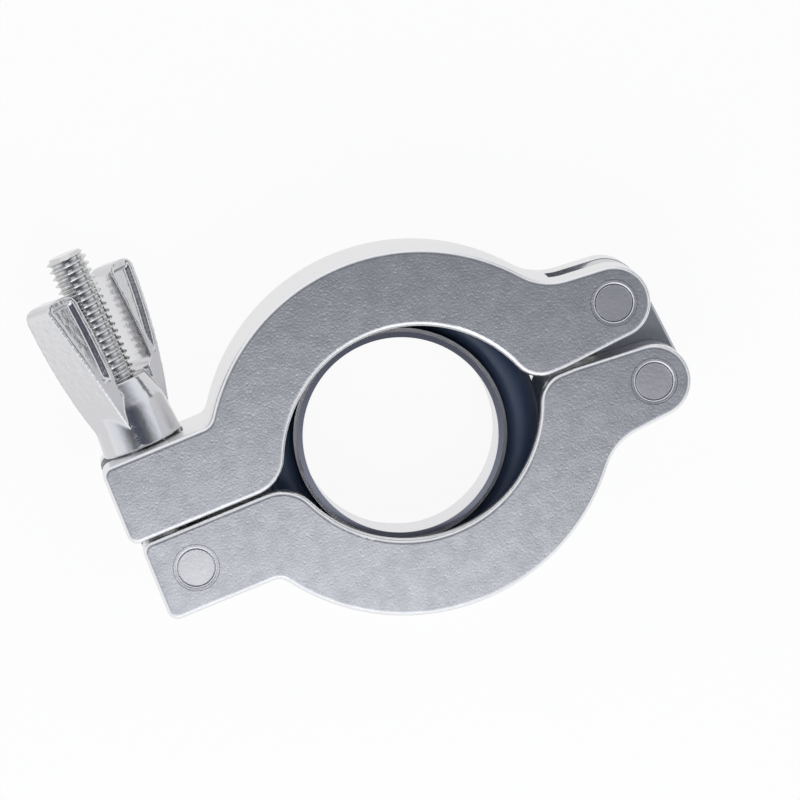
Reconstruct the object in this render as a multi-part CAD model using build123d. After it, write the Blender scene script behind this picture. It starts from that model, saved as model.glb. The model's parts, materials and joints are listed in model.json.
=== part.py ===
"""KF25 (NW25) quick-release vacuum flange clamp: two cast stainless half shells on a double-pin
hinge, a swing bolt with a wing nut, and the centring ring and O-ring that lie in their groove.

The clamp lies flat. +Z is the flow axis. The hinge is at +X and the swing bolt at -X, and +Y points
from the lower half to the upper one. The origin is the centre of the centring ring's bore, in the
clamp's middle plane. All sizes are in millimetres.
"""
from build123d import *
from math import radians, sqrt, tan
import os

# ---- clamp halves: a half is drawn with its arc centre on X = 0 and the split line on Y = 0 -----
THICKNESS = 16.0            # width of both halves along the flow axis
LIP_RADIUS = 16.35          # inner edge of the two lips that hold the flanges
GROOVE_RADIUS = 21.6        # bottom of the V groove
RIM_WALL = 4.05             # metal left outside the groove
GROOVE_FLOOR = 9.6          # width of the groove at its bottom
GROOVE_ANGLE = 15.0         # slope of each flank, as on the back of a KF flange
ARC_DROP = 3.45             # how far each arc centre lies past the split line when fully closed
SPLIT_GAP = 0.30            # space between the two halves' mating faces
HALF_SHIFT = 0.50           # each half's offset along the split, upper to -X and lower to +X
EDGE_ROUND = 0.60           # rounding of the cast outer edges

# ---- bolt lug -----------------------------------------------------------------------------------
LUG_END = 36.0              # free end of the lug
LUG_HEIGHT = 10.2           # outer face of the lug
LUG_CORNER = 1.3            # rounding of the lug's end corners
LUG_ROOT = 1.8              # fillet between lug and rim
LUG_MOUTH = 5.0             # rounding between the mating face and the lip
BOLT_PIN_X = 30.75          # bolt pin, towards the free end
BOLT_PIN_Y = 5.12
BOLT_SLOT = 6.2             # width of the open slot for the swing bolt
BOLT_SLOT_DEPTH = 5.8       # from the bolt pin's axis to the closed end of the slot
BOLT_SLOT_ROUND = 1.5       # rounding of the two corners at the closed end

# ---- hinge --------------------------------------------------------------------------------------
HINGE_PIN_X = 28.87
HINGE_PIN_Y = 5.35
KNUCKLE_RADIUS = 4.5
ARM_FLAT = 4.75             # mating face from the lip to where the arm's straight edges start
ARM_HEIGHT = 10.6           # outer edge of the arm there
ARM_ROOT = 7.0              # fillet between arm and rim
NOSE_ROUND = 3.8            # rounding between the mating face and the lip at the hinge
LINK_SLOT = 5.2             # width of the slot in each knuckle
LINK_SLOT_START = 23.0      # bottom of that slot
LINK_SIDE_GAP = 0.2         # play on each side of the link in its slot
LINK_RADIUS = 4.25          # round ends of the link
LINK_EDGE = 0.4             # rounding of the link's edges

# ---- pins ---------------------------------------------------------------------------------------
PIN_DIAMETER = 5.0
PIN_CHAMFER = 0.3
PIN_RECESS = 0.05           # pin ends lie this far under the faces
PIN_PLAY = 0.05             # running clearance of link and eye on their pins, on the radius
HOLE_ROUND = 0.3            # rounding at the mouths of the pin holes

# ---- swing bolt and wing nut --------------------------------------------------------------------
BOLT_DIAMETER = 5.0
BOLT_LENGTH = 40.4          # from the pin's axis to the threaded end
BOLT_CHAMFER = 0.7
EYE_RADIUS = 4.5
EYE_SIDE_GAP = 0.3          # play on each side of the eye in its slot
THREAD_PLAY = 0.08          # radial clearance of the nut on the bolt
NUT_SEAT_GAP = 0.10         # between the nut and the lug that it presses on
HUB_RADIUS = 4.7
HUB_TOP_RADIUS = 3.5
HUB_STRAIGHT = 4.8          # height of the hub's straight part, below its tapered shoulder
HUB_HEIGHT = 8.4
HUB_SHOULDER_ROUND = 2.0
HUB_TOP_ROUND = 0.6
NUT_HEIGHT = 20.4           # to the tips of the wings
WING_REACH = 8.7            # from the bolt's axis to the outer edge of a wing
WING_INNER = 3.9            # from the bolt's axis to the inner edge of a wing's tip
WING_TIP = 4.0              # thickness of a wing at its tip
WING_FOOT = 5.4             # thickness of a wing at the nut's base
WING_ROOT = 3.2             # height at which the wing's outer edge leaves the hub
WING_CROWN = 0.35           # how far the outer edge bows out from a straight line
WING_TURN = 46.0            # turn of the wings about the bolt, out of the clamp's plane
WING_TIP_ROUND = 1.6
WING_EDGE = 0.6
PANEL_DEPTH = 0.6           # hollow in each broad face of a wing
PANEL_BORDER = 1.1          # rim left round that hollow
PANEL_FOOT = 8.8            # height of that hollow's lower end
PANEL_FOOT_WIDTH = 1.1
PANEL_ROUND = 0.5

# ---- centring ring and O-ring -------------------------------------------------------------------
SLEEVE_RADIUS = 13.0        # outside of the sleeve, to suit a 26 mm flange counterbore
SLEEVE_WALL = 1.1
SLEEVE_LENGTH = 8.0
SLEEVE_BEVEL = 0.45
CORD_RADIUS = 2.35          # section of the O-ring
CORD_SEAT = 0.35            # depth of the saddle turned in the sleeve for the O-ring
CORD_GAP = 0.03             # between the O-ring and its saddle
RING_REST_GAP = 0.15        # between the O-ring and the bottom of the lower half's groove
RING_SIDE = 1.83            # how far the ring lies towards the bolt from the lower arc centre

# ---- worked out from the sizes above --------------------------------------------------------------
FACE = SPLIT_GAP / 2
RIM_RADIUS = GROOVE_RADIUS + RIM_WALL
LIP_MOUTH = sqrt(LIP_RADIUS**2 - (ARC_DROP + FACE) ** 2)
ARM_START = LIP_MOUTH + ARM_FLAT
PIN_RADIUS = PIN_DIAMETER / 2
RING_GROOVE = SLEEVE_RADIUS - CORD_SEAT
CORD_CENTRE = RING_GROOVE + CORD_GAP + CORD_RADIUS
RING_OFFSET = GROOVE_RADIUS - RING_REST_GAP - CORD_CENTRE - CORD_RADIUS
SPLIT_Y = sqrt(RING_OFFSET**2 - RING_SIDE**2) - ARC_DROP
LOWER_ARC_X = RING_SIDE
UPPER_ARC_X = RING_SIDE - 2 * HALF_SHIFT
UPPER_PIN = (UPPER_ARC_X + HINGE_PIN_X, SPLIT_Y + HINGE_PIN_Y)
LOWER_PIN = (LOWER_ARC_X + HINGE_PIN_X, SPLIT_Y - HINGE_PIN_Y)
BOLT_PIN = (LOWER_ARC_X - BOLT_PIN_X, SPLIT_Y - BOLT_PIN_Y)
NUT_BASE_Y = SPLIT_Y + LUG_HEIGHT + NUT_SEAT_GAP
NUT_BORE = BOLT_DIAMETER / 2 + THREAD_PLAY


def round_corner(sketch, x, y, radius):
    """Round the corner of a flat outline that lies nearest to (x, y)."""
    corner = sketch.vertices().sort_by_distance((x, y, 0))[0]
    return fillet(corner, radius)


def half_outline():
    """Outline of a half as seen along the flow axis: rim, bolt lug and hinge arm."""
    arc = Pos(0, -ARC_DROP)
    rim = arc * Circle(RIM_RADIUS)
    rim &= Pos(0, FACE + RIM_RADIUS) * Rectangle(3 * RIM_RADIUS, 2 * RIM_RADIUS)
    knuckle_low = HINGE_PIN_Y - KNUCKLE_RADIUS
    rim -= make_face(Polyline((ARM_START, FACE), (HINGE_PIN_X, knuckle_low), (HINGE_PIN_X, 0),
                              (ARM_START, 0), close=True))

    lug = Pos(-LUG_END / 2, (LUG_HEIGHT + FACE) / 2) * Rectangle(LUG_END, LUG_HEIGHT - FACE)
    for y in (FACE, LUG_HEIGHT):
        lug = round_corner(lug, -LUG_END, y, LUG_CORNER)

    knuckle = Pos(HINGE_PIN_X, HINGE_PIN_Y) * Circle(KNUCKLE_RADIUS)
    root = Line((ARM_START, FACE), (ARM_START, ARM_HEIGHT))
    arm = make_hull([*knuckle.edges(), *root.edges()])

    outline = rim + lug + arm
    outline = round_corner(outline, -sqrt(RIM_RADIUS**2 - (LUG_HEIGHT + ARC_DROP) ** 2), LUG_HEIGHT, LUG_ROOT)
    outline = round_corner(outline, ARM_START, ARM_HEIGHT, ARM_ROOT)
    outline -= arc * Circle(LIP_RADIUS)
    outline = round_corner(outline, -LIP_MOUTH, FACE, LUG_MOUTH)
    outline = round_corner(outline, LIP_MOUTH, FACE, NOSE_ROUND)
    return outline


def groove_cutter():
    """Ring that cuts the V groove, centred on the arc."""
    reach = LIP_RADIUS / 2
    floor = GROOVE_FLOOR / 2
    mouth = floor + (GROOVE_RADIUS - reach) * tan(radians(GROOVE_ANGLE))
    section = Plane.XZ * make_face(Polyline(
        (reach, -mouth), (GROOVE_RADIUS, -floor), (GROOVE_RADIUS, floor), (reach, mouth),
        close=True))
    return Pos(0, -ARC_DROP) * revolve(section, Axis.Z)


def bolt_slot_cutter():
    """Slot, open at the lug's free end, that the swing bolt turns in."""
    closed = BOLT_SLOT_DEPTH - BOLT_PIN_X
    slot = Pos(closed - LUG_END / 2, 0) * Box(LUG_END, 4 * LUG_HEIGHT, BOLT_SLOT)
    corners = slot.edges().filter_by(Axis.Y).sort_by(Axis.X)[-2:]
    return fillet(corners, BOLT_SLOT_ROUND)


def pin_hole(x, y):
    """Cutter for a pin hole through both ears."""
    return Pos(x, y) * Cylinder(PIN_RADIUS, 2 * THICKNESS)


def clamp_half(with_bolt_pin):
    """The upper half, cast, in its drawing place; the lower one is its mirror image."""
    body = extrude(half_outline(), THICKNESS / 2, both=True)
    flats = body.faces().filter_by(Axis.Z)
    body = fillet(flats.edges(), EDGE_ROUND)
    body -= groove_cutter()
    body -= Pos(LINK_SLOT_START + LUG_END / 2, 0) * Box(LUG_END, 4 * LUG_HEIGHT, LINK_SLOT)
    body -= bolt_slot_cutter()
    holes = [(HINGE_PIN_X, HINGE_PIN_Y)]
    if with_bolt_pin:
        holes.append((-BOLT_PIN_X, BOLT_PIN_Y))
    for x, y in holes:
        body -= pin_hole(x, y)
        mouths = body.edges().filter_by(GeomType.CIRCLE).filter_by(
            lambda edge: (edge.arc_center - Vector(x, y, edge.arc_center.Z)).length < HOLE_ROUND
            and abs(edge.arc_center.Z) > THICKNESS / 2 - EDGE_ROUND
            and abs(edge.radius - PIN_RADIUS) < PIN_CHAMFER / 2)
        body = fillet(mouths, HOLE_ROUND)
    return body


def upper_half():
    return Pos(UPPER_ARC_X, SPLIT_Y) * clamp_half(with_bolt_pin=False)


def lower_half():
    return Pos(LOWER_ARC_X, SPLIT_Y) * mirror(clamp_half(with_bolt_pin=True), about=Plane.XZ)


def cross_pin(place):
    """Pin pressed into both ears, its ends just under the faces."""
    pin = Cylinder(PIN_RADIUS, THICKNESS - 2 * PIN_RECESS)
    return Pos(*place) * chamfer(pin.edges(), PIN_CHAMFER)


def hinge_link():
    """Flat link that joins the two knuckles, with a hole for each pin."""
    ends = [Pos(*place) * Circle(LINK_RADIUS) for place in (UPPER_PIN, LOWER_PIN)]
    outline = make_hull([edge for end in ends for edge in end.edges()])
    width = LINK_SLOT - 2 * LINK_SIDE_GAP
    link = extrude(outline, width / 2, both=True)
    link = fillet(link.faces().filter_by(Axis.Z).edges(), LINK_EDGE)
    for x, y in (UPPER_PIN, LOWER_PIN):
        link -= Pos(x, y) * Cylinder(PIN_RADIUS + PIN_PLAY, THICKNESS)
    return link


def swing_bolt():
    """Eye bolt: an eye on the bolt pin and a plain-diameter shank that carries the thread."""
    eye = Cylinder(EYE_RADIUS, BOLT_SLOT - 2 * EYE_SIDE_GAP)
    shank = Pos(0, BOLT_LENGTH / 2) * Rot(-90, 0, 0) * Cylinder(BOLT_DIAMETER / 2, BOLT_LENGTH)
    tip = shank.edges().sort_by(Axis.Y)[-1]
    shank = chamfer(tip, BOLT_CHAMFER)
    bolt = eye + shank - Cylinder(PIN_RADIUS + PIN_PLAY, THICKNESS)
    return Pos(*BOLT_PIN) * bolt


def wing_outline():
    """A wing seen broadside, in its own plane with the bolt's axis on X = 0."""
    root = (HUB_RADIUS, WING_ROOT)
    outer_tip = (WING_REACH, NUT_HEIGHT)
    inner_tip = (WING_INNER, NUT_HEIGHT)
    crown = ((root[0] + outer_tip[0]) / 2 + WING_CROWN, (root[1] + outer_tip[1]) / 2)
    inside = Polyline(outer_tip, inner_tip, (WING_INNER, HUB_HEIGHT), (NUT_BORE, HUB_HEIGHT),
                      (NUT_BORE, WING_ROOT), root)
    wing = make_face([ThreePointArc(root, crown, outer_tip), *inside.edges()])
    for corner in (outer_tip, inner_tip):
        wing = round_corner(wing, *corner, WING_TIP_ROUND)
    return wing


def panel_outline():
    """Outline of the hollow in a wing's broad face, which narrows towards the hub."""
    rise = NUT_HEIGHT - PANEL_BORDER
    left = WING_INNER + PANEL_BORDER
    right = WING_REACH - PANEL_BORDER
    panel = make_face(Polyline((right, rise), (left, rise), (left, PANEL_FOOT),
                               (left + PANEL_FOOT_WIDTH, PANEL_FOOT), close=True))
    return fillet(panel.vertices(), PANEL_ROUND)


def wing_wedge(inset):
    """Wedge as thick as a wing less the inset on each side, thinner towards the wing's tip."""
    foot = WING_FOOT / 2 - inset
    tip = WING_TIP / 2 - inset
    draft = make_face(Polyline((0, foot), (0, -foot), (NUT_HEIGHT, -tip), (NUT_HEIGHT, tip), close=True))
    return extrude(Plane.YZ * draft, 2 * WING_REACH)


def wing():
    """One wing of the nut, with a hollow in both of its broad faces."""
    body = extrude(wing_outline(), WING_FOOT, both=True) & wing_wedge(0)
    broad = body.faces().sort_by(SortBy.AREA)[-2:]
    body = fillet(broad.edges(), WING_EDGE)
    return body - (extrude(panel_outline(), WING_FOOT, both=True) - wing_wedge(PANEL_DEPTH))


def wing_nut():
    """Cast wing nut: a round hub with a tapered shoulder, and two upright wings."""
    section = make_face(Polyline(
        (0, 0), (HUB_RADIUS, 0), (HUB_RADIUS, HUB_STRAIGHT), (HUB_TOP_RADIUS, HUB_HEIGHT),
        (0, HUB_HEIGHT), close=True))
    section = round_corner(section, HUB_RADIUS, HUB_STRAIGHT, HUB_SHOULDER_ROUND)
    section = round_corner(section, HUB_TOP_RADIUS, HUB_HEIGHT, HUB_TOP_ROUND)
    nut = revolve(section, Axis.Y)
    for turn in (0, 180):
        nut += Rot(0, turn, 0) * wing()
    nut -= Pos(0, NUT_HEIGHT / 2) * Rot(90, 0, 0) * Cylinder(NUT_BORE, 2 * NUT_HEIGHT)
    return Pos(BOLT_PIN[0], NUT_BASE_Y) * Rot(0, WING_TURN, 0) * nut


def centering_ring():
    """Turned sleeve with bevelled ends and a round saddle for the O-ring."""
    half = SLEEVE_LENGTH / 2
    bore = SLEEVE_RADIUS - SLEEVE_WALL
    section = make_face(Polyline(
        (bore, -half), (SLEEVE_RADIUS - SLEEVE_BEVEL, -half), (SLEEVE_RADIUS, SLEEVE_BEVEL - half),
        (SLEEVE_RADIUS, half - SLEEVE_BEVEL), (SLEEVE_RADIUS - SLEEVE_BEVEL, half), (bore, half),
        close=True))
    section -= Pos(CORD_CENTRE, 0) * Circle(CORD_RADIUS + CORD_GAP)
    return revolve(Plane.XZ * section, Axis.Z)


def o_ring():
    return Torus(CORD_CENTRE, CORD_RADIUS)


PARTS = {
    "upper_half": upper_half,
    "lower_half": lower_half,
    "hinge_link": hinge_link,
    "upper_hinge_pin": lambda: cross_pin(UPPER_PIN),
    "lower_hinge_pin": lambda: cross_pin(LOWER_PIN),
    "swing_bolt": swing_bolt,
    "bolt_pin": lambda: cross_pin(BOLT_PIN),
    "wing_nut": wing_nut,
    "centering_ring": centering_ring,
    "o_ring": o_ring,
}

os.makedirs("parts", exist_ok=True)
for name, build in PARTS.items():
    export_step(build(), f"parts/{name}.step")
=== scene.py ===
"""Looks of the hinged KF25 flange clamp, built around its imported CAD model.

The frame is the CAD's: metres, +Z along the flow axis, the hinge at +X, the swing bolt at -X, and +Y from
the lower half to the upper one. The origin is the centre of the centring ring's bore.
"""

import json
import logging
import math
from dataclasses import dataclass, field, replace
from enum import Enum

import bmesh
import bpy
from mathutils import Matrix, Vector


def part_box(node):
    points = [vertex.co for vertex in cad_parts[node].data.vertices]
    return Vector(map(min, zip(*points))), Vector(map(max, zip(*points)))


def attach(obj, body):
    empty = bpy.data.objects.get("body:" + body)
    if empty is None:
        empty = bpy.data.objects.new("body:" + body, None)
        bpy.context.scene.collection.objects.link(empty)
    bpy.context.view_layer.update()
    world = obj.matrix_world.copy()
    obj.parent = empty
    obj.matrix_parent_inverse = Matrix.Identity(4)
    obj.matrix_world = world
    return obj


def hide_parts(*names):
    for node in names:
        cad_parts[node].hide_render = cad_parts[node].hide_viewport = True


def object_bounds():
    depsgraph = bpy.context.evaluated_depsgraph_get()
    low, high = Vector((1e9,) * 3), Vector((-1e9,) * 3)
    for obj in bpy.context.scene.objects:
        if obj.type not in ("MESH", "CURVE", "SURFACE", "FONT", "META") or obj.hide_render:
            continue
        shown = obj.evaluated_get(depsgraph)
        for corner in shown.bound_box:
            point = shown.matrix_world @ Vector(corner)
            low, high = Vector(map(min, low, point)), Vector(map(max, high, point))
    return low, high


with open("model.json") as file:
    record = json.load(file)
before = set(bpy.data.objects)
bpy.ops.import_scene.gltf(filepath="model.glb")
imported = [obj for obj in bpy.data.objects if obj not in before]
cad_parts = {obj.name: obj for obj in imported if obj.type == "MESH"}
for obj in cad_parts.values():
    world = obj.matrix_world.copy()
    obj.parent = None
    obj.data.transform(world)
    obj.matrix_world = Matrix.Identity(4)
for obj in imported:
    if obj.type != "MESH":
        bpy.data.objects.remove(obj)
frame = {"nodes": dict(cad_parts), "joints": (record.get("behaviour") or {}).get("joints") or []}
CAD_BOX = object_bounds()

MM = 0.001
MERGE = 1e-7  # points nearer to each other than this, in metres, are one point
ON_CUT = 1e-8  # a point nearer to a cutting plane than this, in metres, lies on it
log = logging.getLogger("clamp")

Colour = tuple[float, float, float]
Feed = float | int | tuple | bpy.types.NodeSocket  # what a node's input may be given


def opaque(colour: Colour) -> tuple[float, float, float, float]:
    """Colour with full alpha, as the nodes want it."""
    return (*colour, 1.0)


# ---- node helpers --------------------------------------------------------------------------------
class Graph:
    """A node tree with short calls for adding and joining nodes."""

    def __init__(self, tree: bpy.types.NodeTree) -> None:
        """Takes over a tree.

        Args:
            tree: the shader or geometry tree that gets the nodes.
        """
        self.tree = tree

    def add(self, kind: str, sockets: dict[str | int, Feed] | None = None,
            **settings: object) -> bpy.types.Node:
        """Adds a node.

        Args:
            kind: the node's type name.
            sockets: input name or index to a value, or to another node's output socket.
            settings: properties of the node itself, such as operation.

        Returns:
            The new node.
        """
        node = self.tree.nodes.new(kind)
        for name, value in settings.items():
            setattr(node, name, value)
        for key, value in (sockets or {}).items():
            if isinstance(value, bpy.types.NodeSocket):
                self.tree.links.new(value, node.inputs[key])
            else:
                node.inputs[key].default_value = value
        return node

    def link(self, source: bpy.types.NodeSocket, target: bpy.types.NodeSocket) -> None:
        """Joins an output to an input."""
        self.tree.links.new(source, target)

    def math(self, operation: str, *values: Feed) -> bpy.types.NodeSocket:
        """Adds a Math node.

        Args:
            operation: the Math node's operation.
            values: up to three numbers or sockets.

        Returns:
            Its result.
        """
        return self.add("ShaderNodeMath", dict(enumerate(values)), operation=operation).outputs[0]

    def blend(self, factor: Feed, first: Feed, second: Feed) -> bpy.types.NodeSocket:
        """Mixes two colours by a factor.

        Args:
            factor: number or socket, 0 for the first colour and 1 for the second.
            first: colour or socket.
            second: colour or socket.

        Returns:
            The mixed colour.
        """
        node = self.add("ShaderNodeMix", {0: factor, 6: first, 7: second}, data_type="RGBA")
        return node.outputs[2]

    def remap(self, value: Feed, low: Feed, high: Feed, to_low: float,
              to_high: float) -> bpy.types.NodeSocket:
        """Stretches a range to another one, clamped.

        Args:
            value: the socket to stretch.
            low: value that becomes to_low.
            high: value that becomes to_high.
            to_low: result at low.
            to_high: result at high.

        Returns:
            The stretched value.
        """
        return self.add("ShaderNodeMapRange", {0: value, 1: low, 2: high, 3: to_low, 4: to_high}).outputs[0]


def new_group(name: str, inputs: dict[str, float],
              outputs: list[str]) -> tuple[Graph, bpy.types.Node, bpy.types.Node]:
    """Makes a shader node group with number sockets.

    Args:
        name: the group's name.
        inputs: socket name to its default.
        outputs: names of the results.

    Returns:
        The graph, its input node and its output node.
    """
    tree = bpy.data.node_groups.new(name, "ShaderNodeTree")
    for label, default in inputs.items():
        socket = tree.interface.new_socket(label, in_out="INPUT", socket_type="NodeSocketFloat")
        socket.default_value = default
    for label in outputs:
        tree.interface.new_socket(label, in_out="OUTPUT", socket_type="NodeSocketFloat")
    graph = Graph(tree)
    return graph, graph.add("NodeGroupInput"), graph.add("NodeGroupOutput")


# ---- shared effects ------------------------------------------------------------------------------
def cast_grain_group() -> bpy.types.NodeTree:
    """Fine pits and soft clouds of a blasted casting.

    Returns:
        The group. Scale is in grains per metre; Clouds and Pits are masks and Height is for a bump.
    """
    cloud_scale, pit_scale = 0.16, 0.45  # shares of the grain's own scale
    pit_core, pit_rim, pit_depth = 0.10, 0.32, 0.35
    graph, given, result = new_group("cast_grain", {"Scale": 3000.0}, ["Clouds", "Pits", "Height"])
    place = graph.add("ShaderNodeTexCoord").outputs["Object"]
    scale = given.outputs["Scale"]
    fine = graph.add("ShaderNodeTexNoise", {"Vector": place, "Scale": scale, "Detail": 3.0}).outputs[0]
    clouds = graph.add("ShaderNodeTexNoise", {
        "Vector": place, "Scale": graph.math("MULTIPLY", scale, cloud_scale),
        "Detail": 5.0, "Roughness": 0.6}).outputs[0]
    pits = graph.add("ShaderNodeTexVoronoi", {
        "Vector": place, "Scale": graph.math("MULTIPLY", scale, pit_scale)}).outputs["Distance"]
    pit_mask = graph.remap(pits, pit_core, pit_rim, 1.0, 0.0)
    height = graph.math("SUBTRACT", fine, graph.math("MULTIPLY", pit_mask, pit_depth))
    for label, socket in (("Clouds", clouds), ("Pits", pit_mask), ("Height", height)):
        graph.link(socket, result.inputs[label])
    return graph.tree


def rolled_edge_group() -> bpy.types.NodeTree:
    """Mask of everything that turns away from the flat faces: rounded edges and side walls.

    Returns:
        The group. Start and End are the turns of the surface at which the mask begins and is full.
    """
    graph, given, result = new_group("rolled_edge", {"Start": 0.01, "End": 0.12}, ["Mask"])
    normal = graph.add("ShaderNodeTexCoord").outputs["Normal"]
    upright = graph.math("ABSOLUTE", graph.add("ShaderNodeSeparateXYZ", {0: normal}).outputs["Z"])
    turn = graph.math("SUBTRACT", 1.0, upright)
    mask = graph.remap(turn, given.outputs["Start"], given.outputs["End"], 0.0, 1.0)
    graph.link(mask, result.inputs["Mask"])
    return graph.tree


def turning_group() -> bpy.types.NodeTree:
    """Fine rings left by a lathe around the flow axis.

    Returns:
        The group. Scale is in rings per metre; Height changes with the distance from the axis and along it.
    """
    graph, given, result = new_group("turning", {"Scale": 6000.0}, ["Height"])
    place = graph.add("ShaderNodeSeparateXYZ", {0: graph.add("ShaderNodeTexCoord").outputs["Object"]})
    flat = graph.add("ShaderNodeCombineXYZ", {0: place.outputs["X"], 1: place.outputs["Y"]})
    radius = graph.add("ShaderNodeVectorMath", {0: flat.outputs[0]}, operation="LENGTH").outputs["Value"]
    rings = graph.add("ShaderNodeCombineXYZ", {0: radius, 2: place.outputs["Z"]})
    height = graph.add("ShaderNodeTexNoise", {
        "Vector": rings.outputs[0], "Scale": given.outputs["Scale"], "Detail": 2.0}).outputs[0]
    graph.link(height, result.inputs["Height"])
    return graph.tree


EFFECTS = {"cast_grain": cast_grain_group(), "rolled_edge": rolled_edge_group(), "turning": turning_group()}


class Texture(Enum):
    """What the fine relief of a metal comes from."""

    CAST = "cast_grain"
    TURNED = "turning"


# ---- finishes ------------------------------------------------------------------------------------
CLOUD_RANGE = (0.35, 0.65)  # cloud values between which a casting goes from dark to plain
CLOUD_STEEL = (0.30, 0.31, 0.34)  # colour of a casting's dark clouds
PAINTED_PIT_GLINT_COLOUR = (0.85, 0.85, 0.86)  # colour of the painted glint in a casting's pits
PIT_GLINT = 0.4  # strength of the glint beside that of the clouds


@dataclass(frozen=True)
class MetalFinish:
    """A bare steel surface.

    Args:
        name: the material's name.
        flat: colour of the flat faces.
        edge: colour of rounded edges and side walls, lighter than the flat faces as a painted highlight.
        rough_flat: roughness of the flat faces.
        rough_edge: roughness of rounded edges and side walls.
        texture: where the relief comes from.
        grain: grains per metre.
        relief: depth of the bump, in metres.
        mottle_and_glint: share by which clouds darken the colour and a painted glint lightens it in the pits.
    """

    name: str
    flat: Colour
    edge: Colour
    rough_flat: float
    rough_edge: float
    texture: Texture = Texture.CAST
    grain: float = 3000.0
    relief: float = 8e-6
    mottle_and_glint: float = 0.25

    @property
    def mottled_and_glinting(self) -> bool:
        """Whether clouds and the painted glint in pits show in the colour."""
        return self.texture is Texture.CAST and self.mottle_and_glint > 0

    def colour(self, graph: Graph, edge: bpy.types.NodeSocket, grain: bpy.types.Node) -> bpy.types.NodeSocket:
        """Adds the nodes of the base colour.

        Args:
            graph: the material's nodes.
            edge: mask of rounded edges and side walls.
            grain: the group that gives the clouds and pits.

        Returns:
            The colour.
        """
        # rounded edges and side walls take the lighter edge colour, a painted highlight
        colour = graph.blend(edge, opaque(self.flat), opaque(self.edge))
        if not self.mottled_and_glinting:
            return colour
        calm = graph.math("MULTIPLY", graph.math("SUBTRACT", 1.0, edge), self.mottle_and_glint)
        dark = graph.math("MULTIPLY", graph.remap(grain.outputs["Clouds"], *CLOUD_RANGE, 1.0, 0.0), calm)
        colour = graph.blend(dark, colour, opaque(CLOUD_STEEL))
        # pits take a painted glint, lighter than the steel
        light = graph.math("MULTIPLY", grain.outputs["Pits"], graph.math("MULTIPLY", calm, PIT_GLINT))
        return graph.blend(light, colour, opaque(PAINTED_PIT_GLINT_COLOUR))

    def build(self) -> bpy.types.Material:
        """Makes the material.

        A colour or roughness that is the same all over is set on the shader itself, without nodes.

        Returns:
            The material.
        """
        material = bpy.data.materials.new(self.name)
        material.use_nodes = True
        graph = Graph(material.node_tree)
        shader = material.node_tree.nodes["Principled BSDF"]
        edge = graph.add("ShaderNodeGroup", node_tree=EFFECTS["rolled_edge"]).outputs["Mask"]
        grain = graph.add("ShaderNodeGroup", {"Scale": self.grain}, node_tree=EFFECTS[self.texture.value])
        shader.inputs["Metallic"].default_value = 1.0
        shader.inputs["Base Color"].default_value = opaque(self.flat)
        if self.mottled_and_glinting or self.edge != self.flat:
            graph.link(self.colour(graph, edge, grain), shader.inputs["Base Color"])
        shader.inputs["Roughness"].default_value = self.rough_flat
        if self.rough_edge != self.rough_flat:
            rough = graph.remap(edge, 0.0, 1.0, self.rough_flat, self.rough_edge)
            graph.link(rough, shader.inputs["Roughness"])
        bump = graph.add("ShaderNodeBump", {"Height": grain.outputs["Height"], "Distance": self.relief})
        graph.link(bump.outputs[0], shader.inputs["Normal"])
        return material


@dataclass(frozen=True)
class RubberFinish:
    """Moulded fluorocarbon rubber.

    Args:
        name: the material's name.
        colour: its base colour.
        bloom: colour of the faint dusty bloom on it.
        roughness: its roughness.
        grain: grains per metre.
        relief: depth of the bump, in metres.
        dusting: most of the colour that the bloom takes.
        dust_range: cloud values between which the bloom sets in.
        dull_range: cloud values between which the roughness rises.
        smoother: how much smoother than its roughness the smoothest place is.
        duller: how much rougher than its roughness the dullest place is.
    """

    name: str
    colour: Colour
    bloom: Colour
    roughness: float
    grain: float = 2200.0
    relief: float = 3e-6
    dusting: float = 0.5
    dust_range: tuple[float, float] = (0.45, 0.75)
    dull_range: tuple[float, float] = (0.3, 0.7)
    smoother: float = 0.05
    duller: float = 0.08

    def build(self) -> bpy.types.Material:
        """Makes the material.

        Returns:
            The material, whose clouds are duller and dustier in places.
        """
        material = bpy.data.materials.new(self.name)
        material.use_nodes = True
        graph = Graph(material.node_tree)
        shader = material.node_tree.nodes["Principled BSDF"]
        grain = graph.add("ShaderNodeGroup", {"Scale": self.grain}, node_tree=EFFECTS["cast_grain"])
        dust = graph.remap(grain.outputs["Clouds"], *self.dust_range, 0.0, self.dusting)
        colour = graph.blend(dust, opaque(self.colour), opaque(self.bloom))
        graph.link(colour, shader.inputs["Base Color"])
        smoothest, dullest = self.roughness - self.smoother, self.roughness + self.duller
        rough = graph.remap(grain.outputs["Clouds"], *self.dull_range, smoothest, dullest)
        graph.link(rough, shader.inputs["Roughness"])
        bump = graph.add("ShaderNodeBump", {"Height": grain.outputs["Height"], "Distance": self.relief})
        graph.link(bump.outputs[0], shader.inputs["Normal"])
        return material


# Where a metal's edge colour is lighter than its flat one, it is a painted highlight on rounded edges and
# side walls.
CAST_FACE = MetalFinish("cast_steel_face", (0.56, 0.565, 0.595), (0.80, 0.80, 0.81), 0.36, 0.30,
                        grain=3400.0, relief=20e-6, mottle_and_glint=0.34)
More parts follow.
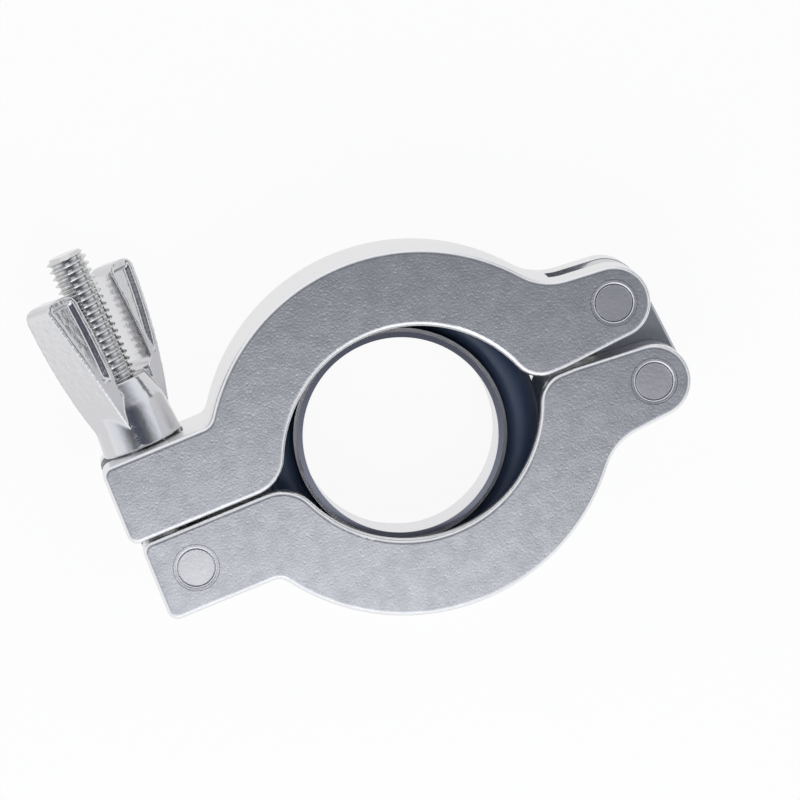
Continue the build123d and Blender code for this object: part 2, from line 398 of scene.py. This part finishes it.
# The link's steel is a darker copy of the halves' cast steel: painted shade of the gap between the knuckles.
SHADED_LINK_STEEL = MetalFinish("cast_steel_link_painted_shade", (0.40, 0.41, 0.44), (0.62, 0.62, 0.64), 0.45, 0.36, relief=15e-6)
GROUND_PIN = MetalFinish("ground_pin", (0.64, 0.64, 0.66), (0.80, 0.80, 0.80), 0.34, 0.22,
                         grain=2600.0, relief=10e-6, mottle_and_glint=0.20)
ROLLED_THREAD = MetalFinish("rolled_thread", (0.62, 0.62, 0.62), (0.62, 0.62, 0.62), 0.12, 0.12,
                            relief=2e-6, mottle_and_glint=0.0)
POLISHED_CAST = MetalFinish("polished_casting", (0.64, 0.64, 0.655), (0.64, 0.64, 0.655), 0.15, 0.15,
                            grain=1400.0, relief=26e-6, mottle_and_glint=0.16)
# The ring's very light edge colour is a painted reflection of the white surroundings on its bore and side
# walls.
TURNED_RING = MetalFinish("turned_ring", (0.21, 0.22, 0.27), (0.74, 0.74, 0.76), 0.26, 0.24, Texture.TURNED,
                          grain=9000.0, relief=2e-6)
SEAL_RUBBER = RubberFinish("seal_rubber", (0.038, 0.062, 0.118), (0.052, 0.076, 0.130), 0.42)


# ---- mesh helpers --------------------------------------------------------------------------------
def node_copy(node: str, name: str) -> bpy.types.Object:
    """Copies a CAD node's mesh into a new, merged piece.

    Args:
        node: the CAD node to copy.
        name: name of the new piece.

    Returns:
        The new object, linked to the scene.
    """
    mesh = bmesh.new()
    mesh.from_mesh(frame["nodes"][node].data)
    bmesh.ops.remove_doubles(mesh, verts=mesh.verts, dist=MERGE)
    data = bpy.data.meshes.new(name)
    mesh.to_mesh(data)
    mesh.free()
    piece = bpy.data.objects.new(name, data)
    bpy.context.scene.collection.objects.link(piece)
    return piece


def bake_modifiers(piece: bpy.types.Object) -> None:
    """Replaces a piece's mesh by what its modifiers make of it, and removes them.

    Args:
        piece: the piece, which keeps its name and place.
    """
    depsgraph = bpy.context.evaluated_depsgraph_get()
    result = bpy.data.meshes.new_from_object(piece.evaluated_get(depsgraph))
    piece.modifiers.clear()
    piece.data = result


def dress(piece: bpy.types.Object, material: bpy.types.Material) -> None:
    """Puts one material on a whole piece."""
    piece.data.materials.clear()
    piece.data.materials.append(material)


def smooth_by_angle(piece: bpy.types.Object, limit: float = math.radians(30)) -> None:
    """Shades a piece smooth, apart from edges sharper than a limit."""
    piece.data.shade_smooth()
    piece.data.set_sharp_from_angle(angle=limit)


def face_outwards(piece: bpy.types.Object) -> None:
    """Turns all faces of a closed piece outwards.

    Args:
        piece: the piece, whose mesh is changed.
    """
    mesh = bmesh.new()
    mesh.from_mesh(piece.data)
    bmesh.ops.recalc_face_normals(mesh, faces=mesh.faces)
    mesh.to_mesh(piece.data)
    mesh.free()


def add_piece(name: str, mesh: bmesh.types.BMesh) -> bpy.types.Object:
    """Links a new object made of a finished mesh, which is freed.

    Args:
        name: name of the piece.
        mesh: its mesh, in the frame's place.

    Returns:
        The new object.
    """
    bmesh.ops.recalc_face_normals(mesh, faces=mesh.faces)
    data = bpy.data.meshes.new(name)
    mesh.to_mesh(data)
    mesh.free()
    piece = bpy.data.objects.new(name, data)
    bpy.context.scene.collection.objects.link(piece)
    return piece


def lathe(mesh: bmesh.types.BMesh, outline: list[tuple[float, float]], turn: Matrix, steps: int) -> None:
    """Adds a closed outline spun round an axis.

    Args:
        mesh: the mesh that gets the faces.
        outline: radius and height of each point, as a closed loop.
        turn: matrix that takes local +Z, the axis, to its place.
        steps: how many sides a full turn has.
    """
    rings = []
    for step in range(steps):
        angle = 2 * math.pi * step / steps
        direction = Vector((math.cos(angle), math.sin(angle), 0.0))
        rings.append([mesh.verts.new(turn @ (direction * radius + Vector((0, 0, height))))
                      for radius, height in outline])
    for here, there in zip(rings, rings[1:] + rings[:1]):
        for first in range(len(outline)):
            second = (first + 1) % len(outline)
            mesh.faces.new((here[first], there[first], there[second], here[second]))


def ease(value: float, low: float, high: float) -> float:
    """Smooth step from 0 at low to 1 at high."""
    share = min(max((value - low) / (high - low), 0.0), 1.0)
    return share * share * (3 - 2 * share)


def pin_centre(node: str) -> Vector:
    """Centre of a CAD pin."""
    low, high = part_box(node)
    return (low + high) / 2


# ---- sub-assemblies ------------------------------------------------------------------------------
@dataclass
class Castings:
    """The two clamp halves, the hinge link and the three pins.

    Args:
        disc: radius of a pin's flat end that stays in view.
        bevel: bevel of the pin's end.
        step: how deep the thinner end goes before the pin has its full size.
        groove: gap between the pin's end and the hole's mouth.
        roll: rounding of the hole's mouth.
        seat: radius at which the mouth runs into the half's face.
        reach: how far the mouth goes down into the hole.
        link_growth: how far the link's edge comes up to the knuckles' outline.
        link_rim: share of the link's half width beyond which a point belongs to its edge.
        sides: how many sides a turned piece has.
        arc_steps: how many steps a mouth's rounding has.
    """

    disc: float = 2.20 * MM
    bevel: float = 0.06 * MM
    step: float = 0.55 * MM
    groove: float = 0.09 * MM
    roll: float = 0.24 * MM
    seat: float = 2.84 * MM
    reach: float = 0.50 * MM
    link_growth: float = 0.20 * MM
    link_rim: float = 0.85
    sides: int = 96
    arc_steps: int = 8

    def dress(self) -> None:
        """Gives the CAD nodes their finishes and adds the holes' rolled mouths and the link."""
        face = CAST_FACE.build()
        steel = GROUND_PIN.build()
        for node in ("upper_half", "lower_half"):
            dress(frame["nodes"][node], face)
            log.info("dressed %s", node)
        for node, body in (("upper_hinge_pin", "upper_clamp"), ("lower_hinge_pin", "lower_clamp"),
                           ("bolt_pin", "lower_clamp")):
            self.pin(node, body, steel)
            self.mouths(node, body, face)
            log.info("built %s", node)
        self.link()

    def pin(self, node: str, body: str, steel: bpy.types.Material) -> None:
        """Turns a pin whose two ends are a little thinner than its shank, in place of the CAD pin.

        Args:
            node: the pin's CAD node.
            body: the body that it belongs to.
            steel: its material.
        """
        low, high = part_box(node)
        centre = pin_centre(node)
        shank, half = (high.x - low.x) / 2, (high.z - low.z) / 2
        end = [(0.0, half), (self.disc - self.bevel, half), (self.disc, half - self.bevel),
               (self.disc, half - self.step), (shank, half - self.step)]
        outline = end + [(radius, -height) for radius, height in reversed(end)]
        mesh = bmesh.new()
        lathe(mesh, outline, Matrix.Translation(centre), self.sides)
        bmesh.ops.remove_doubles(mesh, verts=mesh.verts, dist=MERGE)
        piece = add_piece(f"{node}_turned", mesh)
        smooth_by_angle(piece)
        dress(piece, steel)
        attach(piece, body)
        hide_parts(node)

    def mouths(self, node: str, body: str, face: bpy.types.Material) -> None:
        """Adds the rolled mouths of a pin's hole, one on each side.

        Args:
            node: the pin.
            body: the body that the casting belongs to.
            face: the casting's material.
        """
        low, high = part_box("lower_half")
        centre = pin_centre(node)
        mesh = bmesh.new()
        start = self.disc + self.groove
        angles = [math.pi / 2 * step / self.arc_steps for step in range(self.arc_steps + 1)]
        arc = [(start + self.roll * (1 - math.cos(angle)), self.roll * (math.sin(angle) - 1))
               for angle in angles]
        outline = [(start, -self.reach), *arc, (self.seat, 0.0), (self.seat, -self.reach)]
        for height, flip in ((high.z, 0.0), (low.z, math.pi)):
            turn = Matrix.Translation((centre.x, centre.y, height)) @ Matrix.Rotation(flip, 4, "X")
            lathe(mesh, outline, turn, self.sides)
        piece = add_piece(f"{node}_mouths", mesh)
        smooth_by_angle(piece)
        dress(piece, face)
        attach(piece, body)

    def link(self) -> None:
        """Brings the link's edge out to the knuckles' outline, in place of the CAD link."""
        piece = node_copy("hinge_link", "hinge_link_cast")
        top, low = pin_centre("upper_hinge_pin"), pin_centre("lower_hinge_pin")
        along = (low - top).normalized()
        outside = (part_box("hinge_link")[1].x - low.x) * self.link_rim
        for vertex in piece.data.vertices:
            spot = vertex.co - top
            nearest = along * min(max(spot.dot(along), 0.0), (low - top).length)
            away = Vector((*(spot - nearest).xy, 0.0))
            if away.length > outside:
                vertex.co += away.normalized() * self.link_growth
        smooth_by_angle(piece)
        # the link takes the darker copy of cast steel, painted shade
        dress(piece, SHADED_LINK_STEEL.build())
        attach(piece, "link")
        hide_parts("hinge_link")
        log.info("built %s", piece.name)


@dataclass
class RingSet:
    """The centring ring and its O-ring."""

    def dress(self) -> None:
        """Gives both rings their finishes."""
        dress(frame["nodes"]["centering_ring"], TURNED_RING.build())
        dress(frame["nodes"]["o_ring"], SEAL_RUBBER.build())
        log.info("dressed the ring set")


@dataclass
class ThreadTree:
    """Geometry Nodes tree that sweeps a V thread up the bolt.

    Args:
        name: the tree's name.
        inputs: socket name to its type and default.
        crest_share: share of the pitch that the flat crest takes.
        root_share: share of the half pitch that the flat root takes.
        weld: points nearer than this become one.
    """

    name: str = "v_thread"
    inputs: dict[str, tuple[str, float | int]] = field(default_factory=lambda: {
        "Major Radius": ("NodeSocketFloat", 2.5 * MM),
        "Depth": ("NodeSocketFloat", 0.5 * MM),
        "Pitch": ("NodeSocketFloat", 0.9 * MM),
        "Start": ("NodeSocketFloat", 0.0),
        "End": ("NodeSocketFloat", 30.0 * MM),
        "Chamfer": ("NodeSocketFloat", 0.7 * MM),
        "Around": ("NodeSocketInt", 72),
        "Steps": ("NodeSocketInt", 12),
    })
    crest_share: float = 0.125
    root_share: float = 0.25
    weld: float = 2e-6

    def build(self) -> bpy.types.NodeTree:
        """Makes the tree.

        A grid is wrapped into a helix: each of its rows climbs one pitch in a turn, so a row that ends a
        turn meets the row Steps further on, and rows past either end fold onto that end.

        Returns:
            The tree, with a named input for each size.
        """
        tree = bpy.data.node_groups.new(self.name, "GeometryNodeTree")
        tree.interface.new_socket("Geometry", in_out="OUTPUT", socket_type="NodeSocketGeometry")
        tree.interface.new_socket("Geometry", in_out="INPUT", socket_type="NodeSocketGeometry")
        for label, (kind, default) in self.inputs.items():
            socket = tree.interface.new_socket(label, in_out="INPUT", socket_type=kind)
            socket.default_value = default
        tree.interface.new_socket("Material", in_out="INPUT", socket_type="NodeSocketMaterial")
        graph = Graph(tree)
        given = graph.add("NodeGroupInput").outputs
        calc = graph.math

        length = calc("SUBTRACT", given["End"], given["Start"])
        turns = calc("ADD", calc("CEIL", calc("DIVIDE", length, given["Pitch"])), 2.0)
        last_row = calc("MULTIPLY", turns, given["Steps"])
        grid = graph.add("GeometryNodeMeshGrid", {
            "Size X": 1.0, "Size Y": 1.0,
            "Vertices X": calc("ADD", given["Around"], 1.0), "Vertices Y": calc("ADD", last_row, 1.0)})
        place = graph.add("ShaderNodeSeparateXYZ", {0: graph.add("GeometryNodeInputPosition").outputs[0]})
        around = calc("ADD", place.outputs["X"], 0.5)
        row = calc("ROUND", calc("MULTIPLY", calc("ADD", place.outputs["Y"], 0.5), last_row))
        climbed = calc("ADD", calc("DIVIDE", row, given["Steps"]), calc("SUBTRACT", around, 1.0))
        raw = calc("ADD", given["Start"], calc("MULTIPLY", climbed, given["Pitch"]))
        height = calc("MINIMUM", calc("MAXIMUM", raw, given["Start"]), given["End"])

        phase = calc("FRACT", calc("DIVIDE", row, given["Steps"]))
        nearness = calc("MULTIPLY", calc("ABSOLUTE", calc("SUBTRACT", phase, 0.5)), 2.0)
        cut = graph.remap(nearness, self.root_share, 1.0 - self.crest_share, 1.0, 0.0)
        fade_in = graph.add("ShaderNodeClamp", {
            0: calc("DIVIDE", calc("SUBTRACT", height, given["Start"]), given["Pitch"])}).outputs[0]
        depth = calc("MULTIPLY", calc("MULTIPLY", given["Depth"], cut), fade_in)
        to_tip = calc("SUBTRACT", given["End"], height)
        end_radius = calc("SUBTRACT", given["Major Radius"], given["Chamfer"])
        cut_radius = calc("SUBTRACT", given["Major Radius"], depth)
        radius = calc("MINIMUM", cut_radius, calc("ADD", end_radius, to_tip))

        angle = calc("MULTIPLY", around, 2 * math.pi)
        spot = graph.add("ShaderNodeCombineXYZ", {
            0: calc("MULTIPLY", radius, calc("SINE", angle)), 1: height,
            2: calc("MULTIPLY", radius, calc("COSINE", angle))})
        wrapped = graph.add("GeometryNodeSetPosition", {
            "Geometry": grid.outputs["Mesh"], "Position": spot.outputs[0]})
        disc = graph.add("GeometryNodeMeshCircle", {
            "Vertices": given["Around"], "Radius": end_radius}, fill_type="TRIANGLE_FAN")
        lid = graph.add("GeometryNodeTransform", {
            "Geometry": disc.outputs[0],
            "Translation": graph.add("ShaderNodeCombineXYZ", {1: given["End"]}).outputs[0],
            "Rotation": (-math.pi / 2, 0.0, 0.0)})
        joined = graph.add("GeometryNodeJoinGeometry")
        for part in (wrapped, lid):
            graph.link(part.outputs[0], joined.inputs[0])
        merged = graph.add("GeometryNodeMergeByDistance", {
            "Geometry": joined.outputs[0], "Distance": self.weld})
        real = graph.add("GeometryNodeRealizeInstances", {"Geometry": merged.outputs[0]})
        painted = graph.add("GeometryNodeSetMaterial", {
            "Geometry": real.outputs[0], "Material": given["Material"]})
        graph.add("NodeGroupOutput", {0: painted.outputs[0]})
        return tree


@dataclass
class SwingBolt:
    """Eye bolt with its rolled thread, in place of the plain CAD bolt.

    Args:
        radius: outside radius of the thread.
        pitch: climb of the thread in a turn.
        depth: depth of the thread.
        plain: length of shank, from the pin's axis, that has no thread.
        chamfer: height and width of the bevel at the tip.
        lean: how far the bolt leans out of the slot at rest.
    """

    radius: float = 2.5 * MM
    pitch: float = 0.90 * MM
    depth: float = 0.50 * MM
    plain: float = 8.5 * MM
    chamfer: float = 0.60 * MM
    lean: float = math.radians(0.7)

    def leaning(self) -> Matrix:
        """Turn about the bolt pin that the bolt and its nut stand at."""
        pin = pin_centre("bolt_pin")
        return Matrix.Translation(pin) @ Matrix.Rotation(self.lean, 4, "Z") @ Matrix.Translation(-pin)

    def build(self) -> list[bpy.types.Object]:
        """Makes the eye and the thread and puts them on the bolt's body.

        Returns:
            The two pieces.
        """
        material = ROLLED_THREAD.build()
        pin = pin_centre("bolt_pin")
        start = pin.y + self.plain
        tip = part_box("swing_bolt")[1].y
        pieces = [self.eye(start), self.thread(pin, start, tip)]
        for piece in pieces:
            piece.data.transform(self.leaning())
            dress(piece, material)
            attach(piece, "bolt")
            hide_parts("swing_bolt")
            log.info("built %s: %d faces", piece.name, len(piece.data.polygons))
        return pieces

    def eye(self, cut: float) -> bpy.types.Object:
        """Keeps the CAD bolt below the thread.

        Args:
            cut: height at which the thread begins.

        Returns:
            The eye with the plain stretch of the shank.
        """
        piece = node_copy("swing_bolt", "bolt_eye")
        mesh = bmesh.new()
        mesh.from_mesh(piece.data)
        everything = [*mesh.verts, *mesh.edges, *mesh.faces]
        bmesh.ops.bisect_plane(mesh, geom=everything, dist=ON_CUT, plane_co=(0, cut, 0),
                               plane_no=(0, 1, 0), clear_outer=True)
        rim = [edge for edge in mesh.edges if edge.is_boundary]
        bmesh.ops.holes_fill(mesh, edges=rim)
        mesh.to_mesh(piece.data)
        mesh.free()
        smooth_by_angle(piece)
        return piece

    def thread(self, pin: Vector, start: float, end: float) -> bpy.types.Object:
        """Sweeps the thread from the plain shank to the tip.

        Args:
            pin: a point on the bolt's axis.
            start: height of the thread's first turn.
            end: height of the tip.

        Returns:
            The threaded rod as a plain mesh.
        """
        piece = bpy.data.objects.new("bolt_thread", bpy.data.meshes.new("bolt_thread"))
        bpy.context.scene.collection.objects.link(piece)
        tree = ThreadTree().build()
        modifier = piece.modifiers.new("thread", "NODES")
        modifier.node_group = tree
        sizes = {"Major Radius": self.radius, "Depth": self.depth, "Pitch": self.pitch, "Start": start,
                 "End": end, "Chamfer": self.chamfer}
        for item in tree.interface.items_tree:
            if item.in_out == "INPUT" and item.name in sizes:
                modifier[item.identifier] = sizes[item.name]
        bake_modifiers(piece)
        piece.data.transform(Matrix.Translation((pin.x, 0.0, pin.z)))
        face_outwards(piece)
        return piece


@dataclass
class WingNut:
    """Cast wing nut, its hub and wings joined in one soft skin.

    Args:
        clearance: least gap between the thread and the hole round it, over the whole travel.
        base: radius of the hub's foot.
        hub: radius of the hub.
        hub_top: radius of the hub's upper end.
        straight: height of the hub's straight part.
        valley: height of the hub.
        shoulder: height over which the straight part bends into the shoulder.
        shoulder_dip: how much narrower the hub is there.
        overlap: how far a wing runs into the hub.
        valley_sweep: height over which a wing's inner edge swings out of the hub.
        height: height of the wings.
        inner: distance from the axis to the back wing's inner edge.
        front_inner: the same for the front wing.
        foot_reach: distance from the axis to a wing's outer edge, at the hub's foot.
        flare: growth of that distance with height.
        crown: how far the outer edge bows out half-way up.
        shortfall: how much lower the front wing stands than the back one.
        tuck: how much less the front wing flares.
        belly: thickness of a wing at its thickest.
        belly_height: height at which it is that thick.
        thinning: how fast a wing thins away from there, per metre.
        corner: rounding of a wing's two upper corners.
        border: rim left round the hollow in a wing's face.
        slope: width of the hollow's sloping edge.
        hollow: depth of that hollow.
        hollow_foot: height of the hollow's lower end.
        turn: turn of the wings about the bolt.
        seat_gap: lift that keeps the leaning nut clear of the lug.
        foot: height at which the wings start.
        sides: how many sides the hub has.
        cells: cells across a wing's face, each way.
        voxel: cell of the remesh.
        rounds: smoothing passes that soften the edges.
        softness: strength of each pass.
    """

    clearance: float = 0.04 * MM
    base: float = 5.05 * MM
    hub: float = 4.7 * MM
    hub_top: float = 3.6 * MM
    straight: float = 4.8 * MM
    valley: float = 8.2 * MM
    shoulder: float = 0.4 * MM
    shoulder_dip: float = 0.08 * MM
    overlap: float = 0.4 * MM
    valley_sweep: float = 1.2 * MM
    height: float = 21.3 * MM
    inner: float = 4.4 * MM
    front_inner: float = 3.1 * MM
    foot_reach: float = 3.15 * MM
    flare: float = 0.281
    crown: float = 0.40 * MM
    shortfall: float = 0.70 * MM
    tuck: float = 0.013
    belly: float = 5.7 * MM
    belly_height: float = 8.0 * MM
    thinning: float = 12.5
    corner: float = 1.5 * MM
    border: float = 0.72 * MM
    slope: float = 0.50 * MM
    hollow: float = 0.60 * MM
    hollow_foot: float = 9.2 * MM
    turn: float = math.radians(48.0)
    seat_gap: float = 0.08 * MM
    foot: float = 0.5 * MM
    sides: int = 128
    cells: int = 72
    voxel: float = 0.12 * MM
    rounds: int = 7
    softness: float = 0.5

    def outer_reach(self, height: float) -> float:
        """Distance from the axis to a wing's outer edge at a height."""
        bow = self.crown * math.sin(math.pi * height / self.height)
        return self.foot_reach + self.flare * height + bow

    def thickness(self, height: float) -> float:
        """Thickness of a wing at a height."""
        return self.belly - self.thinning * (height - self.belly_height) ** 2

    def hollow_depth(self, reach: float, height: float) -> float:
        """Depth of the hollow in a wing's face.

        Args:
            reach: distance from the axis.
            height: height above the nut's base.

        Returns:
            The depth there, 0 on the rim round the hollow.
        """
        depth = self.hollow
        for margin in (reach - self.inner, self.outer_reach(height) - reach, self.height - height,
                       height - self.hollow_foot + self.border):
            depth *= ease(margin, self.border, self.border + self.slope)
        return depth

    def wing_spot(self, along: float, up: float, sign: int) -> Vector:
        """Point on a wing's face, drawn along +X.

        Args:
            along: share of the way from the inner edge to the outer one.
            up: share of the way from the foot to the top.
            sign: which face, 1 or -1.

        Returns:
            The point.
        """
        height = self.foot + up * (self.height - self.foot)
        hidden = self.hub_top - self.overlap
        inner = hidden + (self.inner - hidden) * ease(height, self.valley, self.valley + self.valley_sweep)
        short = max(height - (self.height - self.corner), 0.0)
        trim = self.corner - math.sqrt(max(self.corner ** 2 - short ** 2, 0.0))
        reach = inner + trim + along * (self.outer_reach(height) - inner - 2 * trim)
        side = self.thickness(height) / 2 - self.hollow_depth(reach, height)
        return Vector((reach, height, sign * side))

    def wing(self, mesh: bmesh.types.BMesh, turn: Matrix) -> None:
        """Adds one wing as a closed block that overlaps the hub.

        Args:
            mesh: the mesh that gets the wing.
            turn: matrix that takes the wing to its place.
        """
        last = self.cells
        sides = []
        for sign in (-1, 1):
            grid = [[mesh.verts.new(turn @ self.wing_spot(column / last, row / last, sign))
                     for row in range(last + 1)] for column in range(last + 1)]
            for column in range(last):
                for row in range(last):
                    mesh.faces.new((grid[column][row], grid[column + 1][row],
                                    grid[column + 1][row + 1], grid[column][row + 1]))
            rim = [grid[step][0] for step in range(last)]
            rim += [grid[last][step] for step in range(last)]
            rim += [grid[last - step][last] for step in range(last)]
            rim += [grid[0][last - step] for step in range(last)]
            sides.append(rim)
        back, front = sides
        for here in range(len(back)):
            there = (here + 1) % len(back)
            mesh.faces.new((back[here], back[there], front[there], front[here]))

    def blank(self, bore: float, place: Matrix) -> bpy.types.Object:
        """Joins the hub and the two wings into one raw piece.

        Args:
            bore: radius of the hole round the thread.
            place: matrix that takes the nut, drawn up +Y from its base, to its place.

        Returns:
            The raw piece.
        """
        mesh = bmesh.new()
        outline = [(bore, 0.0), (self.base, 0.0), (self.hub, self.straight),
                   (self.hub - self.shoulder_dip, self.straight + self.shoulder),
                   (self.hub_top, self.valley), (bore, self.valley)]
        lathe(mesh, outline, place @ Matrix.Rotation(-math.pi / 2, 4, "X"), self.sides)
        front = replace(self, height=self.height - self.shortfall, flare=self.flare - self.tuck,
                        inner=self.front_inner)
        for wing, half_turn in ((self, 0.0), (front, math.pi)):
            wing.wing(mesh, place @ Matrix.Rotation(half_turn, 4, "Y"))
        return add_piece("wing_nut_cast", mesh)

    def build(self, bolt: SwingBolt) -> bpy.types.Object:
        """Makes the nut and puts it on its body.

        Args:
            bolt: the bolt that it runs on. Its lean makes it drift across the hole as the nut travels.

        Returns:
            The nut.
        """
        slide = next(joint for joint in frame["joints"] if joint["name"] == "nut_travel")
        drift = slide["range_m"][1] * math.tan(bolt.lean)
        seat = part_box("wing_nut")[0].y + self.seat_gap
        pin = pin_centre("bolt_pin")
        place = Matrix.Translation((pin.x - drift / 2, seat, pin.z)) @ Matrix.Rotation(self.turn, 4, "Y")
        piece = self.blank(bolt.radius + drift / 2 + self.clearance, place)
        skin = piece.modifiers.new("skin", "REMESH")
        skin.mode = "VOXEL"
        skin.voxel_size = self.voxel
        soften = piece.modifiers.new("soften", "SMOOTH")
        soften.factor = self.softness
        soften.iterations = self.rounds
        bake_modifiers(piece)
        piece.data.transform(bolt.leaning())
        piece.data.shade_smooth()
        dress(piece, POLISHED_CAST.build())
        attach(piece, "nut")
        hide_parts("wing_nut")
        log.info("built %s: %d faces", piece.name, len(piece.data.polygons))
        return piece


# ---- studio --------------------------------------------------------------------------------------
@dataclass
class Studio:
    """Floor, world light, lamp, reflection card and camera.

    Args:
        floor_size: side of the square floor.
        floor_gap: gap between the clamp and the floor, so that they don't share a plane.
        floor_tint: colour of the floor, which its shadows fall on.
        floor_roughness: its roughness.
        floor_white: share of plain white in what the camera and reflections see of it.
        underside: colour of the world from the nadir up to the horizon.
        zenith: colour of the opening overhead, where the camera looks in.
        tent: height and brightness of the stops between them, from 0 at the horizon to 1 overhead.
        tent_tint: colour of those stops at full brightness.
        panel_place: centre of the soft lamp, which looks at the origin.
        panel_size: its side.
        panel_power: its power in watts.
        card_place: centre of the card.
        card_size: its height and length.
        card_grey: its colour.
        near: distance at which the camera begins to see.
        distance: from the camera to the clamp's front plane.
        toward: direction from the clamp to the camera.
        rise: angle at which the clamp's long axis rises in the view.
        aim: point of the clamp's front plane at the middle of the view.
        field_width: width of the view on that plane.
    """

    floor_size: float = 3.0
    floor_gap: float = 0.02 * MM
    floor_tint: Colour = (0.96, 0.96, 0.97)
    floor_roughness: float = 0.9
    floor_white: float = 0.92
    underside: Colour = (1.15, 1.15, 1.15)
    zenith: Colour = (0.085, 0.095, 0.132)
    tent: tuple[tuple[float, float], ...] = ((0.55, 1.0), (0.76, 0.62), (0.90, 0.22))
    tent_tint: Colour = (1.0, 1.02, 1.08)
    panel_place: tuple[float, float, float] = (-0.032, -0.070, 0.13)
    panel_size: float = 0.13
    panel_power: float = 0.067
    card_place: tuple[float, float, float] = (0.12, 0.01, 0.008)
    card_size: tuple[float, float] = (0.034, 0.26)
    card_grey: Colour = (0.22, 0.23, 0.25)
    near: float = 0.01
    distance: float = 0.70
    toward: tuple[float, float, float] = (-0.0275, 0.133, 1.0)
    rise: float = math.radians(22.0)
    aim: tuple[float, float] = (1.41 * MM, 4.52 * MM)
    field_width: float = 96.27 * MM

    def floor(self) -> None:
        """Lays a pale floor under the clamp, which looks white and keeps the clamp's shadow."""
        level = CAD_BOX[0][2] - self.floor_gap
        bpy.ops.mesh.primitive_plane_add(size=self.floor_size, location=(0.0, 0.0, level))
        floor = bpy.context.object
        floor.name = "studio_floor"
        material = bpy.data.materials.new("pale_floor")
        material.use_nodes = True
        graph = Graph(material.node_tree)
        nodes = material.node_tree.nodes
        shader = nodes["Principled BSDF"]
        shader.inputs["Base Color"].default_value = opaque(self.floor_tint)
        shader.inputs["Roughness"].default_value = self.floor_roughness
        path = graph.add("ShaderNodeLightPath").outputs
        seen = graph.math("MAXIMUM", path["Is Camera Ray"], path["Is Glossy Ray"])
        seen = graph.math("MULTIPLY", seen, self.floor_white)
        white = graph.add("ShaderNodeEmission", {0: (1.0, 1.0, 1.0, 1.0), 1: 1.0})
        mixed = graph.add("ShaderNodeMixShader", {0: seen, 1: shader.outputs[0], 2: white.outputs[0]})
        graph.link(mixed.outputs[0], nodes["Material Output"].inputs["Surface"])
        dress(floor, material)

    def world(self) -> None:
        """Sets a white tent with a dark opening overhead, where the camera looks in."""
        world = bpy.data.worlds.new("white_tent")
        bpy.context.scene.world = world
        world.use_nodes = True
        graph = Graph(world.node_tree)
        way = graph.add("ShaderNodeTexCoord").outputs["Generated"]
        height = graph.add("ShaderNodeSeparateXYZ", {0: way}).outputs["Z"]
        ramp = graph.add("ShaderNodeValToRGB", {0: height})
        stops = ramp.color_ramp.elements
        stops[0].position, stops[0].color = 0.0, opaque(self.underside)
        stops[1].position, stops[1].color = 1.0, opaque(self.zenith)
        for position, level in self.tent:
            stops.new(position).color = opaque(tuple(level * part for part in self.tent_tint))
        camera_ray = graph.add("ShaderNodeLightPath").outputs["Is Camera Ray"]
        colour = graph.blend(camera_ray, ramp.outputs[0], (1.0, 1.0, 1.0, 1.0))
        graph.link(colour, world.node_tree.nodes["Background"].inputs["Color"])

    def lamp(self) -> None:
        """Hangs the soft lamp panel over the lower left of the clamp."""
        data = bpy.data.lights.new("low_left_panel", "AREA")
        data.size = self.panel_size
        data.energy = self.panel_power
        lamp = bpy.data.objects.new("low_left_panel", data)
        lamp.location = self.panel_place
        lamp.rotation_euler = (-Vector(self.panel_place)).to_track_quat("-Z", "Y").to_euler()
        lamp.visible_camera = False
        bpy.context.scene.collection.objects.link(lamp)

    def card(self) -> None:
        """Stands a grey card beside the hinge, which only reflections see."""
        bpy.ops.mesh.primitive_plane_add(size=1.0, location=self.card_place, rotation=(0.0, math.pi / 2, 0.0))
        card = bpy.context.object
        card.name = "grey_card"
        card.scale = (*self.card_size, 1.0)
        card.visible_camera = card.visible_diffuse = card.visible_shadow = False
        material = bpy.data.materials.new("grey_card")
        material.use_nodes = True
        graph = Graph(material.node_tree)
        glow = graph.add("ShaderNodeEmission", {0: opaque(self.card_grey), 1: 1.0})
        graph.link(glow.outputs[0], material.node_tree.nodes["Material Output"].inputs["Surface"])
        dress(card, material)

    def camera(self) -> None:
        """Sets the camera above the clamp, turned so that the hinge rises to the right."""
        data = bpy.data.cameras.new("camera")
        target = Vector((*self.aim, CAD_BOX[1][2]))
        toward = Vector(self.toward).normalized()
        view_up = Vector((math.sin(self.rise), math.cos(self.rise), 0.0))
        right = view_up.cross(toward).normalized()
        up = toward.cross(right)
        data.lens = data.sensor_width * self.distance / self.field_width
        data.clip_start = self.near
        camera = bpy.data.objects.new("camera", data)
        turn = Matrix((right, up, toward)).transposed().to_4x4()
        camera.matrix_world = Matrix.Translation(target + toward * self.distance) @ turn
        bpy.context.scene.collection.objects.link(camera)
        bpy.context.scene.camera = camera

    def build(self) -> None:
        """Sets up the whole studio."""
        bpy.context.scene.view_settings.view_transform = "Standard"
        self.floor()
        self.world()
        self.lamp()
        self.card()
        self.camera()


def main() -> None:
    """Builds the studio and every piece in order."""
    logging.basicConfig(level=logging.INFO, format="%(name)s: %(message)s")
    Studio().build()
    Castings().dress()
    RingSet().dress()
    bolt = SwingBolt()
    bolt.build()
    WingNut().build(bolt)


if __name__ == "__main__":
    main()
